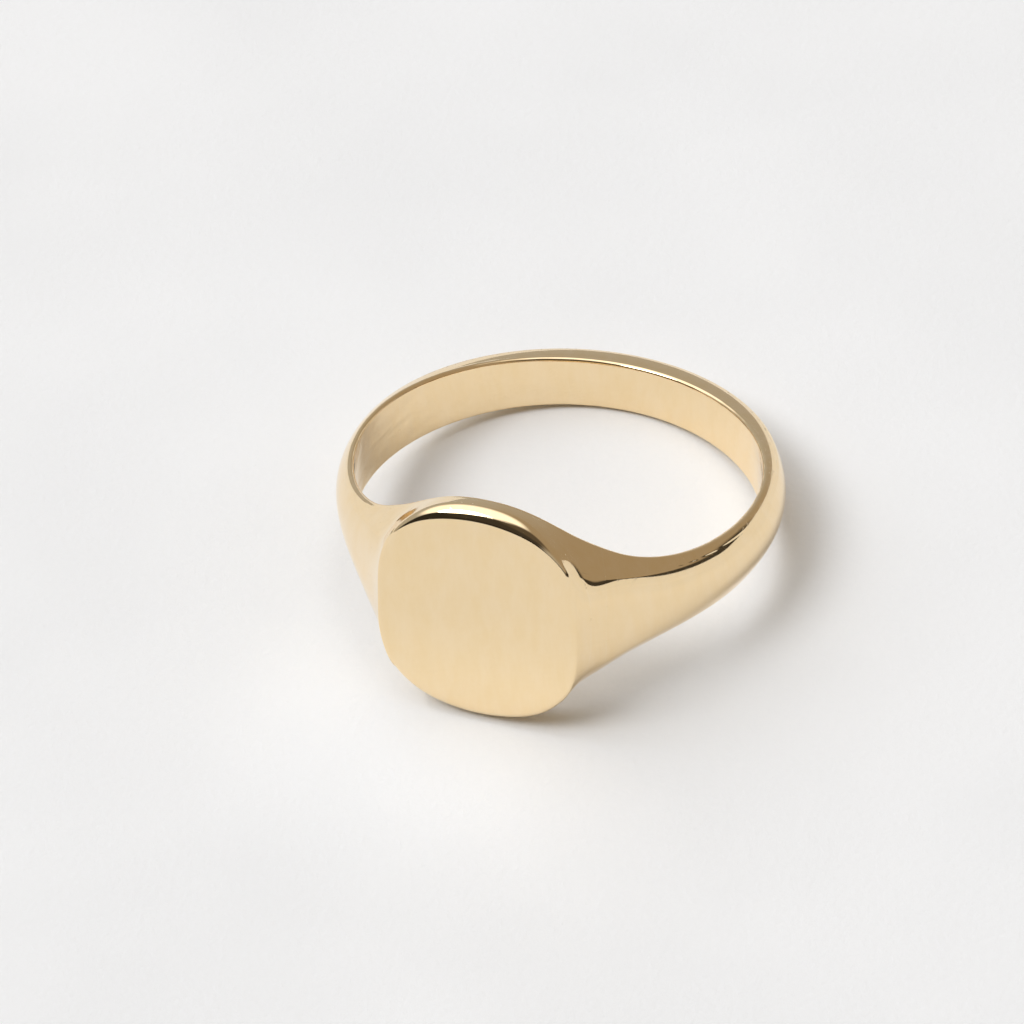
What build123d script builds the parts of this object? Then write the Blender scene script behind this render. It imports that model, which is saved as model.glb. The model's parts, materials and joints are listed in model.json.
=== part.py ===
from build123d import *
from math import atan2, cos, degrees, exp, hypot, radians, sin
import os

# A cushion signet ring in polished yellow gold, lying on its side.
#
# The ring is drawn with its bore along Z and its head toward -Y.  A place on it is an angle t round
# the bore (0 at the middle of the face, 180 at the back of the shank), a radius from the bore axis
# and a height above the ring's middle plane.  At the end the whole ring is laid down, so that it
# rests on the lower rim of the head and on the back of the shank.

# The bore
BORE_R = 8.6           # finger size US 7
BORE_RIM_FILLET = 0.16  # the comfort edge between the bore and the ring's sides

# The head
FACE_H = 9.85          # from the bore axis to the flat face
FACE_HALF_W = 4.37     # half of the face, across the finger
HEAD_HALF_L = 5.05     # half of the head, along the finger, at the bore
FACE_ROUNDOVER = 0.40  # the soft edge between the face and the head's two ends
FACE_SIDE_FILLET = 0.08  # the crisper edge between the face and each shoulder
PLATE_T = 0.60         # the face plate, from the flat face down to its solder

# The shank
SHANK_BACK_T = 1.30    # metal at the back, at mid-width
SHANK_SIDE_T = 0.60    # what the metal at mid-width would thin to without the shoulders' rise
SHANK_HALF_L = 1.18    # half-width of the back at the bore
SHANK_EDGE_HALF_L = 1.07  # half-width of the back at the line where the crown starts

# The solder joints
SOLDER_T = 0.06        # between the face plate and the saddle
SEAM_DEG = 0.35        # 0.06 mm at the shoulders' mid-thickness
HEAD_JOINT_DEG = 31.0
SHANK_JOINT_DEG = 108.0

# Lying down, the ring leans back until the shank's back touches the table too.
LIE_DEG = -degrees(atan2(HEAD_HALF_L - SHANK_HALF_L, 2 * BORE_R + 0.73))
EDGE_DEG = degrees(atan2(FACE_HALF_W, FACE_H))  # where the shoulder's crown meets the flat face


def half_back(t):
    """0 at the face, 1 at the back of the shank."""
    return (1 - cos(radians(t))) / 2


def soft_min(a, b):
    """The smaller of two radii, with a smooth change from one to the other."""
    return (a**-40 + b**-40) ** (-1 / 40)


def crown_r(t):
    """Radius of the outer surface at mid-width: an even shank plus the rise of the shoulder to the face."""
    back = half_back(t)
    shank = BORE_R + SHANK_SIDE_T + (SHANK_BACK_T - SHANK_SIDE_T) * (0.57 * back + 0.43 * back**2)
    return shank + 1.55 * exp((hypot(EDGE_DEG, 12) - hypot(t, 12)) / 10)


def crown_drop(t):
    """How much lower than mid-width the crown is at its two edges: most at the face's corners, so they round off."""
    return 0.10 + 0.25 * sin(radians(t)) ** 2 + 0.45 * exp(-(((abs(t) - 20) / 9) ** 2))


def bore_half_l(t):
    """Half-width of the ring at the bore: a slow taper to the back plus the swell under the head."""
    taper = (1 - half_back(t)) * 1.0
    swell = (HEAD_HALF_L - SHANK_HALF_L - 1.0) * exp(-((abs(t) / 30.3) ** 2.2))
    return SHANK_HALF_L + taper + swell


def edge_half_l(t):
    """Half-width at the crisp outer edge: the cushion outline of the face, running out along the shank."""
    cushion = 1.80 * exp(-((abs(t) / 21.5) ** 5.3)) + 2.09 * exp(-((t / 33.7) ** 2))
    return SHANK_EDGE_HALF_L + 0.14 * (1 - half_back(t)) + cushion


def section(t):
    """The closed outline of the metal in the half-plane at angle t, from inside the bore to above the face."""
    edge_r = crown_r(t) - crown_drop(t)
    knee = soft_min(edge_r, FACE_H / cos(radians(t)) if abs(t) < 60 else 99)
    top = soft_min(edge_r, (FACE_H + 0.6) / cos(radians(t)) if abs(t) < 60 else 99)
    low = BORE_R - 0.3
    at_bore, at_edge = bore_half_l(t), edge_half_l(t)

    def side(r):
        s = (r - BORE_R) / (knee - BORE_R)
        return at_bore + (at_edge - at_bore) * s + 0.20 * s * (1 - s)

    def place(r, z):
        return Vector(r * sin(radians(t)), -r * cos(radians(t)), z)

    flank = [low + (top - low) * k / 4 for k in range(5)]
    upper = Spline([place(r, side(r)) for r in flank])
    lower = Spline([place(r, -side(r)) for r in reversed(flank)])
    half = side(top)
    fullness = 2 + 2.2 * exp(-((t / 45) ** 4))
    crown_at = [k / 4 for k in range(-4, 5)]
    crown = Spline([place(top + crown_drop(t) * (1 - abs(k) ** fullness), -k * half) for k in crown_at])
    bore = Line(place(low, -side(low)), place(low, side(low)))
    return Wire([upper, crown, lower, bore])


def stretch(angles):
    """A stretch of the ring through its sections, with the true bore and the flat face cut in it."""
    metal = Solid.make_loft([section(t) for t in angles])
    metal -= Cylinder(BORE_R, 30)
    metal -= Pos(0, -FACE_H - 5, 0) * Box(40, 10, 40)
    metal = metal.solids()[0]
    softened = {is_rim: BORE_RIM_FILLET, is_face_end: FACE_ROUNDOVER, is_face_side: FACE_SIDE_FILLET}
    for wanted, radius in softened.items():
        chosen = [e for e in metal.edges() if wanted(e, e @ 0.5)]
        if chosen:
            metal = metal.fillet(radius, chosen)
    return metal


def runs_round(edge):
    """A long edge that stays on one side of the middle plane."""
    return edge.length > 2.9 and (edge @ 0).Z * (edge @ 1).Z > 0


def is_rim(edge, middle):
    """Where the bore meets one of the ring's two sides."""
    return abs(hypot(middle.X, middle.Y) - BORE_R) < 0.01 and runs_round(edge)


def is_face_end(edge, middle):
    """Where the flat face meets the head's end, toward the fingertip or the knuckle."""
    return abs(middle.Y + FACE_H) < 0.01 and abs(middle.Z) > 4


def is_face_side(edge, middle):
    """One of the two straight sides of the flat face."""
    return abs(middle.Y + FACE_H) < 0.01 and abs(middle.Z) < 1


def wedge(t_from, t_to):
    """The space between two half-planes through the bore axis, less than a half turn apart."""
    middle = (t_from + t_to) / 2
    corners = [(40 * sin(radians(t)), -40 * cos(radians(t))) for t in (t_from, middle, t_to)]
    return extrude(make_face(Polyline((0, 0), *corners, close=True)), 15, both=True)


def level(depth, thick):
    """The space between two planes parallel to the face, the first one at this depth under it."""
    return Pos(0, -FACE_H + depth + thick / 2, 0) * Box(40, thick, 40)


# The head is one stretch, the right shoulder another, the back of the shank a third.
head = stretch([k * 2.5 for k in range(-16, 17)])
head &= wedge(-HEAD_JOINT_DEG, HEAD_JOINT_DEG)
flank = stretch([20 + 5 * k for k in range(21)])
back = stretch([98 + 6 * k for k in range(28)])
seams = {"head": HEAD_JOINT_DEG, "shank": SHANK_JOINT_DEG}

pieces = {
    "face_plate": head & level(0, PLATE_T),
    "plate_solder": head & level(PLATE_T, SOLDER_T),
    "head_block": head & level(PLATE_T + SOLDER_T, 20),
    "shank_back": back & wedge(SHANK_JOINT_DEG + SEAM_DEG, 360 - SHANK_JOINT_DEG - SEAM_DEG),
}
right = {"shoulder": flank & wedge(HEAD_JOINT_DEG + SEAM_DEG, SHANK_JOINT_DEG)}
for name, t in seams.items():
    right[f"{name}_solder"] = flank & wedge(t, t + SEAM_DEG)
for name, piece in right.items():
    pieces[f"right_{name}"] = piece
    pieces[f"left_{name}"] = mirror(piece, about=Plane.YZ)

laid = {name: Rot(LIE_DEG, 0, 0) * piece for name, piece in pieces.items()}
corners = [v for piece in laid.values() for v in piece.tessellate(0.005, 0.1)[0]]
low, high = [[pick(c[k] for c in map(tuple, corners)) for k in range(3)] for pick in (min, max)]
down = Pos(0, -(low[1] + high[1]) / 2, -low[2])

os.makedirs("parts", exist_ok=True)
for name, piece in laid.items():
    export_step(down * piece, f"parts/{name}.step")
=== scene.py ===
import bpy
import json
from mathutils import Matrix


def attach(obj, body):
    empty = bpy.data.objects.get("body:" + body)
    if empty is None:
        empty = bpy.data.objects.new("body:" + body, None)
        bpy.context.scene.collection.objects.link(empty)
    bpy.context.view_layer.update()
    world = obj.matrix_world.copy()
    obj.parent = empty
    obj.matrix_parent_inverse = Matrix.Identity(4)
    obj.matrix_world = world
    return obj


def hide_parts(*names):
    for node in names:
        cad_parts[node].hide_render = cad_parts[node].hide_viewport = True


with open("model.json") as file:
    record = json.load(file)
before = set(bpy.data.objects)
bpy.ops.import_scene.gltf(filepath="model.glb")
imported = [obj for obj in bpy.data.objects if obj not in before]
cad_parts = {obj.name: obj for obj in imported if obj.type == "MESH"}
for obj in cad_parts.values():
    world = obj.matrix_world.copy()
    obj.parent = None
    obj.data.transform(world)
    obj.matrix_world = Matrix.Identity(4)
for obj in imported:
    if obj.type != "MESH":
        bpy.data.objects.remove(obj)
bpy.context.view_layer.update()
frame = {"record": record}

import json
from math import atan, cos, degrees, radians, sin

import bmesh
import bpy
import numpy as np
from mathutils import Matrix, Vector

# A plain cushion signet ring in polished yellow gold, soldered up from a face plate, a saddle, two
# shoulders and a half-round back.  The whole outside of the ring is one smooth formula, so that the
# polish runs over the seams unbroken, and each piece is the part of it between its own joints.
#
# The formula works in millimetres round the bore: an angle t (0 at the middle of the face, 180 at
# the back), a radius r from the bore's axis and a height h above the ring's middle plane.

# ---------------------------------------------------------------- sizes, in millimetres and degrees
BORE_R = 8.6
FACE_H = 9.85                 # from the bore axis to the flat face
FACE_HALF_W = 4.37
FACE_EDGE_DEG = degrees(atan(FACE_HALF_W / FACE_H))
PLATE_T = 0.60
SOLDER_T = 0.06
SEAM_DEG = 0.35               # a soldered seam, as an angle round the bore
HEAD_JOINT_DEG = 31.0
SHANK_JOINT_DEG = 108.0

# the crown, which is the outside of the ring at mid-width
SHANK_T = 0.60                # from bore to crown, before the two growths below
BACK_GROWTH = (0.40, 0.30)    # more thickness at the back, in step with half_back and with its square
SHOULDER_RISE = 1.55          # the shoulder above the shank, at the face's edge
RISE_DEG = 10                 # over which the rise falls to about a third
RISE_SOFT_DEG = 12            # over which its peak is rounded off

# how much the crown stands above the ring's two edges
DROP = 0.10                   # everywhere
DROP_SIDE = 0.25              # more, half-way round
DROP_CORNER = 0.45            # more, at the face's corners

# half the width of the ring, at the bore and where the crown starts
HEAD_HALF_L = 5.05            # the head, at the bore
BORE_BACK_HALF_L = 1.18       # the back, at the bore
BORE_TAPER = 1.00             # the slow taper, at the bore
EDGE_BACK_HALF_L = 1.07       # the back, at the crown
EDGE_TAPER = 0.14
CUSHION_HALF_L = 1.80         # the flat-topped part of the face's outline
SKIRT_HALF_L = 2.09           # the part that runs out along the shoulder
FLANK_FULL = 0.20             # how full the flanks are
FLANK_FULL_CORNER = 0.50      # and how much fuller behind the face's corners

# the rounded edges
FACE_EDGE_R = 0.14            # face to crown
BORE_EDGE_R = 0.17            # bore to flanks
EDGE_R = 0.16                 # crown to flanks
EDGE_R_FACE = 0.46            # more, at the face's two ends
EDGE_R_BACK = 0.24            # more, worn away at the back

# the grid that is laid over the formula
RAYS_ACROSS, RAYS_ROUND = 37, 69    # across each broad side, and round each end
RAY_START_IN = 0.42           # from the ring's sides to where the end rays start
RAY_REACH = 3.0               # farther than any ray has to go
HALVINGS = 26
COLUMN_STEPS = ((0, 17, 0.5), (17, 29, 0.1), (29, 50, 0.35), (50, 180.1, 0.8))
JOINT_CLEAR_DEG = 0.05        # the least step beside a joint
SKIN_SIDES = 12               # a face with more sides than this is the flat of a joint

# ---------------------------------------------------------------- where the ring lies
MOUNTS = {m["name"]: m for m in frame["record"]["mounts"]}
UP_BORE = np.array(MOUNTS["finger_bore"]["axis"], float)
TO_FACE = np.array(MOUNTS["face"]["axis"], float)
RIGHT = np.cross(UP_BORE, TO_FACE)
BORE_MIDDLE = np.array(MOUNTS["finger_bore"]["pos_m"], float)
AXES = np.stack([RIGHT, -TO_FACE, UP_BORE])


def to_table(points):
    """From millimetres round the bore to metres on the table."""
    return BORE_MIDDLE + points @ AXES / 1000


# ---------------------------------------------------------------- the formula of the ring's outside
def half_back(t):
    """0 at the face, 1 at the back of the shank: half of one minus the angle's cosine."""
    return (1 - np.cos(np.radians(t))) / 2


def swell(t, middle, wide):
    """A hump of height 1 on both sides of the face: e to the minus square of the way from its middle over its
    width."""
    return np.exp(-(((np.abs(t) - middle) / wide) ** 2))


def near_face(t, wide, steep):
    """1 at the middle of the face, falling away past an angle: e to the minus power of t over that angle.  The
    higher the power, the flatter the top."""
    return np.exp(-((np.abs(t) / wide) ** steep))


def face_r(t):
    """Radius at which a line at this angle meets the plane of the face, held from 60 degrees on."""
    return FACE_H / np.cos(np.radians(np.minimum(np.abs(t), 60)))


def crown_middle_r(t):
    """Radius at mid-width: a shank that grows a little to the back, plus the shoulder's rise to the face, which
    falls off as e to the minus angle."""
    back = half_back(t)
    shank = BORE_R + SHANK_T + BACK_GROWTH[0] * back + BACK_GROWTH[1] * back**2
    rise = np.exp((np.hypot(FACE_EDGE_DEG, RISE_SOFT_DEG) - np.hypot(t, RISE_SOFT_DEG)) / RISE_DEG)
    return shank + SHOULDER_RISE * rise


def crown_drop(t):
    """How much the crown stands above its two edges: most at the face's corners, so that they round off."""
    return DROP + DROP_SIDE * np.sin(np.radians(t)) ** 2 + DROP_CORNER * swell(t, 20, 9)


def bore_half_l(t):
    """Half-width at the bore: a slow taper to the back plus the swell under the head."""
    slow = BORE_BACK_HALF_L + BORE_TAPER * (1 - half_back(t))
    return slow + (HEAD_HALF_L - BORE_BACK_HALF_L - BORE_TAPER) * near_face(t, 30.3, 2.2)


def edge_half_l(t):
    """Half-width where the crown starts: the cushion outline of the face, running out along the shank."""
    cushion = CUSHION_HALF_L * near_face(t, 21.5, 5.3) + SKIRT_HALF_L * swell(t, 0, 33.7)
    return EDGE_BACK_HALF_L + EDGE_TAPER * (1 - half_back(t)) + cushion


def flank_half_l(t, r):
    """Half-width of the ring's two sides at a radius: a straight line from the bore to the crown, and a flat
    parabola on it that makes it full.  The line ends at the crown's edge or at the face, whichever is nearer,
    with a soft change between the two."""
    sharp = 40.0
    edge_r = crown_middle_r(t) - crown_drop(t)
    knee = (edge_r**-sharp + face_r(t)**-sharp) ** (-1 / sharp)
    s = (r - BORE_R) / (knee - BORE_R)
    fullness = FLANK_FULL + FLANK_FULL_CORNER * swell(t, 28, 7)
    return bore_half_l(t) + (edge_half_l(t) - bore_half_l(t)) * s + fullness * s * (1 - s)


def fields(p):
    """How far a point is outside the flank, the crown, the flat face and the bore, each by its own measure.
    The crown falls to its edges as a power of the height over the half-width, flatter at the face."""
    x, y, h = p[..., 0], p[..., 1], p[..., 2]
    t, r = np.degrees(np.arctan2(x, -y)), np.hypot(x, y)
    flank = np.abs(h) - flank_half_l(t, r)
    across = np.minimum(np.abs(h / edge_half_l(t)), 1.05)
    crown = r - crown_middle_r(t) + crown_drop(t) * across ** (2 + 2.2 * near_face(t, 45, 4))
    return np.stack([flank, crown, -y - FACE_H, BORE_R - r])


def true_distance(p):
    """The same four as distances in millimetres, with their unit outward directions, by central differences:
    each measure over the length of its own slope."""
    step = 1e-4
    value = fields(p)
    slopes = []
    for k in range(3):
        off = np.zeros(3)
        off[k] = step
        slopes.append((fields(p + off) - fields(p - off)) / (2 * step))
    slope = np.stack(slopes, -1)
    size = np.maximum(np.linalg.norm(slope, axis=-1), 1e-6)
    return value / size, slope / size[..., None]


def rounded(a, b, radius):
    """Where two surfaces meet, a round edge: the distance from an arc of this radius that touches both.  The
    small limits only keep a root or a division in bounds."""
    (da, na), (db, nb) = a, b
    lean = np.clip((na * nb).sum(-1), -0.98, 0.98)
    apart = 1 - lean * lean
    u, v = da + radius, db + radius
    on_arc = (u > v * lean) & (v > u * lean)
    arc = np.sqrt(np.maximum(u * u + v * v - 2 * u * v * lean, 1e-12) / apart)
    toward = (na * (u - v * lean)[..., None] + nb * (v - u * lean)[..., None]) / apart[..., None]
    toward = toward / np.maximum(np.linalg.norm(toward, axis=-1), 1e-9)[..., None]
    plain = np.where((da > db)[..., None], na, nb)
    return np.where(on_arc, arc - radius, np.maximum(da, db)), np.where(on_arc[..., None], toward, plain)


def edge_radius(t):
    """Radius of the edge all round: soft at the face's two ends, crisp along the shoulders, worn away from 70
    degrees to the back by a smooth step."""
    worn = np.clip((np.abs(t) - 70) / 80, 0, 1)
    return EDGE_R + EDGE_R_FACE * near_face(t, 17, 4) + EDGE_R_BACK * worn * worn * (3 - 2 * worn)


def outside(p):
    """Distance outside the ring and its outward direction, with every edge rounded."""
    t = np.degrees(np.arctan2(p[..., 0], -p[..., 1]))
    distance, direction = true_distance(p)
    flank, crown, face, bore = [(distance[k], direction[k]) for k in range(4)]
    top = rounded(crown, face, FACE_EDGE_R)
    body = rounded(flank, top, edge_radius(t))
    return rounded(body, bore, BORE_EDGE_R)


# ---------------------------------------------------------------- the ring as a grid
def ring_grid(angles):
    """Points on the ring's outside.  At each angle, rays leave a short line in the middle of the metal:
    straight to the bore, round one end, straight out to the crown and round the other end.  The
    surface is where the distance passes zero on each ray, found by halving."""
    t = np.asarray(angles, float)
    across, ends = np.linspace(-1, 1, RAYS_ACROSS), np.ones(RAYS_ROUND)
    sweep = np.radians(np.linspace(-90, 90, RAYS_ROUND + 2)[1:-1])
    still, out = np.zeros(RAYS_ACROSS), np.ones(RAYS_ACROSS)
    start = np.concatenate([across, ends, -across, -ends])
    toward_r = np.concatenate([-out, np.sin(sweep), out, np.sin(sweep[::-1])])
    toward_h = np.concatenate([still, np.cos(sweep), still, -np.cos(sweep)])
    middle_r = (BORE_R + np.minimum(crown_middle_r(t), face_r(t))) / 2
    reach = np.minimum(bore_half_l(t), edge_half_l(t)) - RAY_START_IN
    r0 = np.broadcast_to(middle_r[:, None], (len(t), len(start)))
    h0 = reach[:, None] * start
    near, far = np.zeros(r0.shape), np.full(r0.shape, RAY_REACH)
    s, c = np.sin(np.radians(t))[:, None], np.cos(np.radians(t))[:, None]

    def on_ray(d):
        r, h = r0 + d * toward_r, h0 + d * toward_h
        return np.stack([r * s, -r * c, h], -1)

    for _ in range(HALVINGS):
        half = (near + far) / 2
        past = outside(on_ray(half))[0] > 0
        near, far = np.where(past, near, half), np.where(past, half, far)
    return on_ray((near + far) / 2)


def angles_between(start, end):
    """Angles for the grid's columns, closest where the outline turns at the face's corners."""
    fine = np.concatenate([np.arange(*steps) for steps in COLUMN_STEPS])
    every = np.concatenate([-fine[:0:-1], fine, 360 - fine[-2:0:-1]])
    inner = every[(every > start + JOINT_CLEAR_DEG) & (every < end - JOINT_CLEAR_DEG)]
    return np.concatenate([[start], inner, [end]])


def stretch(name, start, end):
    """A closed mesh of the ring between two half-planes through the bore axis: the grid and two flat ends."""
    grid = ring_grid(angles_between(start, end))
    rows, cols = grid.shape[:2]
    index = np.arange(rows * cols).reshape(rows, cols)
    a, b = index[:-1], index[1:]
    quads = np.stack([a, np.roll(a, -1, 1), np.roll(b, -1, 1), b], -1).reshape(-1, 4)
    mesh = bpy.data.meshes.new(name)
    mesh.from_pydata(grid.reshape(-1, 3), [], quads.tolist() + [index[0][::-1].tolist(), index[-1].tolist()])
    return mesh


def level_cut(mesh, name, deep, high):
    """A copy of the head between two levels under the face, sawn flat at both and closed."""
    work = bmesh.new()
    work.from_mesh(mesh)
    for depth, normal in ((deep, (0, 1, 0)), (high, (0, -1, 0))):
        if depth is None:
            continue
        everything = list(work.verts) + list(work.edges) + list(work.faces)
        cut = bmesh.ops.bisect_plane(work, geom=everything, plane_co=(0, -FACE_H + depth, 0), plane_no=normal,
                                     clear_outer=True, dist=1e-7)
        rim = [e for e in cut["geom_cut"] if isinstance(e, bmesh.types.BMEdge) and e.is_boundary]
        bmesh.ops.edgeloop_fill(work, edges=rim)
    part = bpy.data.meshes.new(name)
    work.to_mesh(part)
    work.free()
    return part


def numbers_of(items, what, per_item, kind):
    """One property of all of a mesh's points, corners or faces as an array."""
    values = np.empty(len(items) * per_item, kind)
    items.foreach_get(what, values)
    return values


def finish_piece(mesh, material, node):
    """Polishes a piece: true outward directions from the formula at each corner of the skin, flat ones at the
    joints, and for the felt cone's marks how near each point is to the bore: 1 there, 0 a quarter of a
    millimetre out.  Then millimetres round the bore become metres on the table."""
    points = numbers_of(mesh.vertices, "co", 3, float).reshape(-1, 3)
    corner_vert = numbers_of(mesh.loops, "vertex_index", 1, np.int32)
    face_size = numbers_of(mesh.polygons, "loop_total", 1, np.int32)
    face_way = numbers_of(mesh.polygons, "normal", 3, float).reshape(-1, 3)
    skin_way = outside(points)[1][corner_vert]
    flat_way = np.repeat(face_way, face_size, axis=0)
    joint = np.repeat(face_size > SKIN_SIDES, face_size)
    way = np.where(joint[:, None], flat_way, skin_way) @ AXES
    off_bore = np.hypot(points[:, 0], points[:, 1]) - BORE_R
    inside = mesh.attributes.new("inside_the_bore", "FLOAT", "POINT")
    inside.data.foreach_set("value", np.clip(1.4 - off_bore * 6, 0, 1))
    mesh.vertices.foreach_set("co", to_table(points).ravel())
    mesh.polygons.foreach_set("use_smooth", face_size <= SKIN_SIDES)
    mesh.update()
    mesh.normals_split_custom_set(way)
    mesh.materials.append(material)
    piece = bpy.data.objects.new("gold_" + node, mesh)
    bpy.context.scene.collection.objects.link(piece)
    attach(piece, "root")
    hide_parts(node)


# ---------------------------------------------------------------- materials
def linear(code):
    """An sRGB hex value as linear colour."""
    part = np.array([int(code[k:k + 2], 16) for k in (1, 3, 5)]) / 255
    return [*np.where(part <= 0.04045, part / 12.92, ((part + 0.055) / 1.055) ** 2.4), 1.0]


def dimmed(code, strength):
    """An sRGB hex value as linear colour times a strength."""
    return [v * strength for v in linear(code)[:3]] + [1]


def add(tree, kind, settings=None, links=None):
    """Adds a node with its settings (properties, or values of its inputs) and its links (input: output)."""
    node = tree.nodes.new(kind)
    for name, value in (settings or {}).items():
        if isinstance(name, int) or name in node.inputs:
            node.inputs[name].default_value = value
        else:
            setattr(node, name, value)
    for name, output in (links or {}).items():
        tree.links.new(output, node.inputs[name])
    return node


def new_material(name):
    """An empty material, its node tree and the object coordinates that its patterns start from."""
    material = bpy.data.materials.new(name)
    material.use_nodes = True
    tree = material.node_tree
    tree.nodes.clear()
    return material, tree, add(tree, "ShaderNodeTexCoord").outputs["Object"]


def clouds(tree, place, size_mm, detail=2.0, rough=0.5, distortion=0.0, turn=(0, 0, 0)):
    """A cloudy pattern whose clouds have a real size in millimetres along three axes, turned by degrees."""
    way = add(tree, "ShaderNodeVectorRotate",
              {"rotation_type": "EULER_XYZ", "Rotation": [radians(a) for a in turn]}, {"Vector": place})
    where = add(tree, "ShaderNodeVectorMath",
                {"operation": "MULTIPLY", 1: [1000 / v for v in size_mm]}, {0: way.outputs[0]})
    return add(tree, "ShaderNodeTexNoise",
               {"Scale": 1.0, "Detail": detail, "Roughness": rough, "Distortion": distortion},
               {"Vector": where.outputs[0]}).outputs["Fac"]


def laid_together(tree, layers):
    """The sum of some patterns, each times its own share."""
    total = None
    for pattern, share in layers:
        layer = add(tree, "ShaderNodeMath", {"operation": "MULTIPLY", 1: share}, {0: pattern}).outputs[0]
        if total is not None:
            layer = add(tree, "ShaderNodeMath", {"operation": "ADD"}, {0: total, 1: layer}).outputs[0]
        total = layer
    return total


def hairlines(tree, place):
    """Long fine scratches in four directions, each broken into short runs."""
    scratches = None
    for turn in ((20, 0, 35), (75, 40, 0), (0, 65, 110), (130, 20, 70)):
        line = clouds(tree, place, (6.0, 0.16, 0.16), 0.0, turn=turn)
        line = add(tree, "ShaderNodeMapRange", {"From Min": 0.70, "From Max": 0.78}, {"Value": line})
        run = clouds(tree, place, (2.2, 1.4, 1.8), 1.0, turn=turn)
        run = add(tree, "ShaderNodeMapRange", {"From Min": 0.52, "From Max": 0.62}, {"Value": run})
        marks = add(tree, "ShaderNodeMath", {"operation": "MULTIPLY"},
                    {0: line.outputs[0], 1: run.outputs[0]}).outputs[0]
        if scratches is not None:
            marks = add(tree, "ShaderNodeMath", {"operation": "MAXIMUM"}, {0: scratches, 1: marks}).outputs[0]
        scratches = marks
    return scratches


def polished_gold(name, colours, roughness, pits):
    """Polished gold.  What shows on it, from large to small: the slow unevenness that a felt wheel leaves, which
    bends long reflections; the felt cone's ripples in the bore; a breath of haze in short streaks, which also
    turns the colour a very little; hairline scratches; and in solder a few pits.  Real hairlines are about
    0.02 mm wide and are drawn several times as wide, so that they show at all."""
    material, tree, place = new_material(name)
    near_bore = add(tree, "ShaderNodeAttribute", {"attribute_name": "inside_the_bore"}).outputs["Fac"]

    wheel = clouds(tree, place, (3.4, 3.4, 3.4), 1.0)
    cone = clouds(tree, place, (2.6, 2.6, 0.8), 2.0, 0.4, 0.8)
    cone = add(tree, "ShaderNodeMath", {"operation": "MULTIPLY"}, {0: cone, 1: near_bore}).outputs[0]
    scratch = hairlines(tree, place)
    haze = clouds(tree, place, (0.6, 0.6, 2.6), 5.0, 0.7)
    grain = clouds(tree, place, (0.09, 0.09, 0.09), 1.0)
    pit = clouds(tree, place, (0.12, 0.12, 0.12), 0.0)
    pit = add(tree, "ShaderNodeMapRange", {"From Min": 0.74, "From Max": 0.80}, {"Value": pit}).outputs[0]

    hazed = add(tree, "ShaderNodeMapRange", {"From Min": 0.35, "From Max": 0.65}, {"Value": haze}).outputs[0]
    tint = add(tree, "ShaderNodeMix", {"data_type": "RGBA", 6: linear(colours[0]), 7: linear(colours[1])},
               {"Factor": hazed}).outputs[2]
    matt = add(tree, "ShaderNodeMapRange",
               {"From Min": 0.40, "From Max": 0.70, "To Min": roughness, "To Max": roughness + 0.05},
               {"Value": haze}).outputs[0]
    matt = laid_together(tree, ((matt, 1.0), (scratch, 0.10), (pit, pits * 0.3)))

    height_mm = laid_together(
        tree, ((wheel, 0.010), (cone, 0.035), (grain, 0.00012), (scratch, -0.0004), (pit, -0.004 * pits)))
    relief = add(tree, "ShaderNodeBump", {"Strength": 1.0, "Distance": 0.001}, {"Height": height_mm}).outputs[0]
    metal = add(tree, "ShaderNodeBsdfPrincipled", {"Metallic": 1.0},
                {"Base Color": tint, "Roughness": matt, "Normal": relief})
    add(tree, "ShaderNodeOutputMaterial", None, {"Surface": metal.outputs["BSDF"]})
    return material


# 14 carat gold polished with rouge gives the ring its warm, pale, clear mirror.  The hard solder of its
# seams holds a little more silver and zinc, so it is a shade paler, a shade less clear, and pitted.
GOLD = polished_gold("polished_14_carat_gold", ("#F7DDB0", "#F9E1B9"), 0.035, 0.0)
SOLDER = polished_gold("polished_hard_gold_solder", ("#F7DEB3", "#FAE3BE"), 0.045, 1.0)

# ---------------------------------------------------------------- the pieces
head = stretch("head", -HEAD_JOINT_DEG, HEAD_JOINT_DEG)
UNDER_PLATE, UNDER_SOLDER = PLATE_T, PLATE_T + SOLDER_T
finish_piece(level_cut(head, "face_plate", UNDER_PLATE, None), GOLD, "face_plate")
finish_piece(level_cut(head, "plate_solder", UNDER_SOLDER, UNDER_PLATE), SOLDER, "plate_solder")
finish_piece(level_cut(head, "head_block", None, UNDER_SOLDER), GOLD, "head_block")
bpy.data.meshes.remove(head)

SHOULDER_DEG = HEAD_JOINT_DEG + SEAM_DEG    # from here to the joint with the shank
SHANK_DEG = SHANK_JOINT_DEG + SEAM_DEG      # from here to the middle of the back
for node, start, end, metal, slot in (
    ("right_head_solder", HEAD_JOINT_DEG, SHOULDER_DEG, SOLDER, "solder"),
    ("left_head_solder", -SHOULDER_DEG, -HEAD_JOINT_DEG, SOLDER, "solder"),
    ("right_shoulder", SHOULDER_DEG, SHANK_JOINT_DEG, GOLD, "gold"),
    ("left_shoulder", -SHANK_JOINT_DEG, -SHOULDER_DEG, GOLD, "gold"),
    ("right_shank_solder", SHANK_JOINT_DEG, SHANK_DEG, SOLDER, "solder"),
    ("left_shank_solder", -SHANK_DEG, -SHANK_JOINT_DEG, SOLDER, "solder"),
    ("shank_back", SHANK_DEG, 360 - SHANK_DEG, GOLD, "gold"),
):
    finish_piece(stretch(node, start, end), metal, node)


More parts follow.
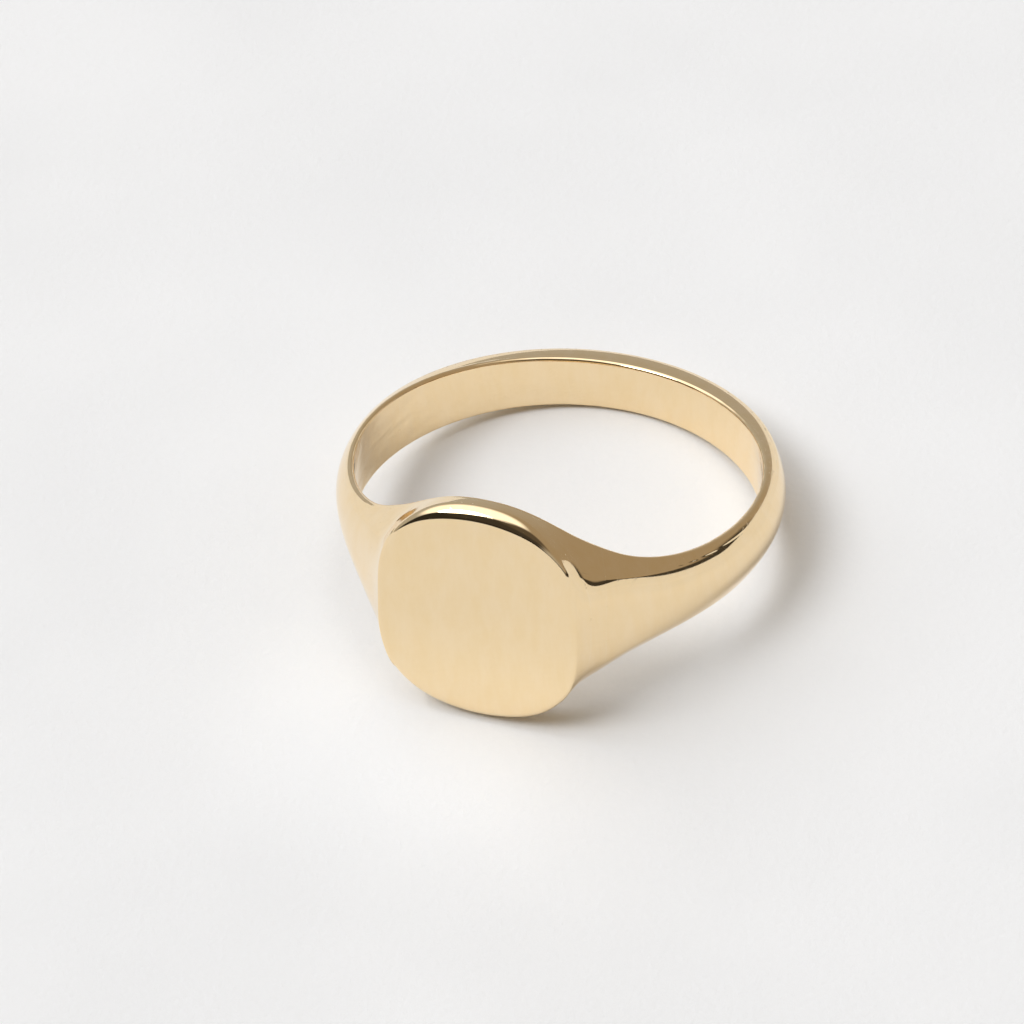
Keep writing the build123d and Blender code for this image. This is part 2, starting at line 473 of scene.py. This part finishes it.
# ---------------------------------------------------------------- floor, light and camera
def studio_board():
    """Matte white studio board: a fine toothed paper face with a faint cloudiness of its pulp."""
    material, tree, place = new_material("matte_white_studio_board")
    tooth = clouds(tree, place, (0.35, 0.35, 0.35), 3.0, 0.6)
    pulp = clouds(tree, place, (14, 14, 14), 3.0)
    pulp = add(tree, "ShaderNodeMapRange", {"From Min": 0.35, "From Max": 0.65}, {"Value": pulp}).outputs[0]
    white = add(tree, "ShaderNodeMix", {"data_type": "RGBA", 6: linear("#F2F4F7"), 7: linear("#F6F8FB")},
                {"Factor": pulp}).outputs[2]
    matt = add(tree, "ShaderNodeMapRange",
               {"From Min": 0.3, "From Max": 0.7, "To Min": 0.70, "To Max": 0.85}, {"Value": tooth}).outputs[0]
    relief = add(tree, "ShaderNodeBump", {"Strength": 1.0, "Distance": 0.00003}, {"Height": tooth}).outputs[0]
    paper = add(tree, "ShaderNodeBsdfPrincipled", None,
                {"Base Color": white, "Normal": relief, "Roughness": matt})
    add(tree, "ShaderNodeOutputMaterial", None, {"Surface": paper.outputs["BSDF"]})
    return material


def lay_floor(half):
    """A square board that reaches this far to each side, in metres."""
    mesh = bpy.data.meshes.new("floor")
    corners = [(-half, -half, 0), (half, -half, 0), (half, half, 0), (-half, half, 0)]
    mesh.from_pydata(corners, [], [(0, 1, 2, 3)])
    mesh.materials.append(studio_board())
    board = bpy.data.objects.new("floor", mesh)
    bpy.context.scene.collection.objects.link(board)


lay_floor(1.5)

# The room as the polished metal sees it, in pale plaster, with a window under a white blind high on the left.
ROOM_WHITE = ("#FFFEFC", 0.45)
ROOM_GLOWS = (      # direction (degrees right of the face, degrees up), wide, full, squash, colour, strength
    ((110, 35), 95, 35, 1, "#FFEBCF", 0.37),       # the wall on the right
    ((-92, 68), 50, 28, 1, "#FFFFFF", 1.50),       # the window
    ((-28, 16), 38, 32, 1, "#FFF0DC", 0.03),       # the dark side of the room
    ((-2, 36), 30, 20, 1, "#FFF0DC", 0.05),        # its upper part, straight in front of the face
    ((28, 52), 30, 14, 1, "#FFE9CC", 0.10),        # a dark ceiling corner over the viewer
    ((60, 0), 78, 66, 22, "#FFF0DC", 0.05),        # dark low furniture from the front to the right
)


def glow(tree, toward, wide, full, squash):
    """1 within the full angle of a direction and 0 beyond the wide one, in degrees, with a soft change between.
    A squash above 1 flattens the round patch into a low band on the horizon."""
    azimuth, height = [radians(v) for v in toward]
    way = (sin(azimuth) * cos(height), -cos(azimuth) * cos(height), sin(height))
    look = add(tree, "ShaderNodeTexCoord").outputs["Generated"]
    look = add(tree, "ShaderNodeVectorMath", {"operation": "MULTIPLY", 1: (1, 1, squash)}, {0: look}).outputs[0]
    look = add(tree, "ShaderNodeVectorMath", {"operation": "NORMALIZE"}, {0: look}).outputs[0]
    near = add(tree, "ShaderNodeVectorMath", {"operation": "DOT_PRODUCT", 1: way}, {0: look}).outputs["Value"]
    limits = {"From Min": cos(radians(wide)), "From Max": cos(radians(full)), "interpolation_type": "SMOOTHSTEP"}
    return add(tree, "ShaderNodeMapRange", limits, {"Value": near}).outputs["Result"]


def furnish_room():
    """The world: the plaster, with each glow laid over the ones before it."""
    world = bpy.data.worlds.new("studio_room")
    bpy.context.scene.world = world
    world.use_nodes = True
    tree = world.node_tree
    tree.nodes.clear()
    shade = add(tree, "ShaderNodeRGB").outputs[0]
    shade.default_value = dimmed(*ROOM_WHITE)
    for toward, wide, full, squash, colour, strength in ROOM_GLOWS:
        shade = add(tree, "ShaderNodeMix", {"data_type": "RGBA", 7: dimmed(colour, strength)},
                    {"Factor": glow(tree, toward, wide, full, squash), 6: shade}).outputs[2]
    light = add(tree, "ShaderNodeBackground", None, {"Color": shade}).outputs[0]
    add(tree, "ShaderNodeOutputWorld", None, {"Surface": light})


def lamp(name, kind, place, aim, **settings):
    """A lamp with its settings, at a place and turned to a point, in metres."""
    light = bpy.data.lights.new(name, kind)
    for setting, value in settings.items():
        setattr(light, setting, value)
    stand = bpy.data.objects.new(name, light)
    bpy.context.scene.collection.objects.link(stand)
    stand.location = place
    stand.rotation_euler = (Vector(aim) - Vector(place)).to_track_quat("-Z", "Y").to_euler()


furnish_room()
# The sun high in the window, spread by the blind; and a small pool of it on the table just in front of the
# face, which is what lights the lower part of the face.
lamp("sun_through_the_blind", "SUN", (-0.45, -0.36, 0.82), (0, 0, 0), energy=1.05, angle=radians(28))
lamp("spot_through_the_blind", "SPOT", (-0.28, 0.02, 0.42), (-0.0015, -0.0128, 0),
     energy=1.1, spot_size=radians(1.7), spot_blend=0.90, shadow_soft_size=0.004)

# The camera stands to the right of the face and looks down at it from the height of a sitting viewer.
CAMERA_ROUND_DEG, CAMERA_UP_DEG = 20.1, 33.75    # round the bore from the face, above the ring's middle plane
CAMERA_FAR, CAMERA_SIDE, CAMERA_HIGH = 34.34, -0.2267, -0.0960    # in bore radii
LENS_MM, SENSOR_MM, NEAREST_M = 246.1, 36.0, 0.01
a, e = radians(CAMERA_ROUND_DEG), radians(CAMERA_UP_DEG)
back = np.array([sin(a) * cos(e), -cos(a) * cos(e), sin(e)])
side = np.array([cos(a), sin(a), 0])
up = np.cross(back, side)
eye = to_table(BORE_R * (CAMERA_FAR * back + CAMERA_SIDE * side + CAMERA_HIGH * up))
facing = Matrix(np.stack([side @ AXES, up @ AXES, back @ AXES], 1).tolist())
lens = bpy.data.cameras.new("camera")
lens.lens, lens.sensor_width, lens.clip_start = LENS_MM, SENSOR_MM, NEAREST_M
camera = bpy.data.objects.new("camera", lens)
bpy.context.scene.collection.objects.link(camera)
camera.matrix_world = Matrix.Translation(Vector(eye)) @ facing.to_4x4()
bpy.context.scene.camera = camera
bpy.context.scene.view_settings.view_transform = "Standard"    # polished gold keeps its contrast and colour
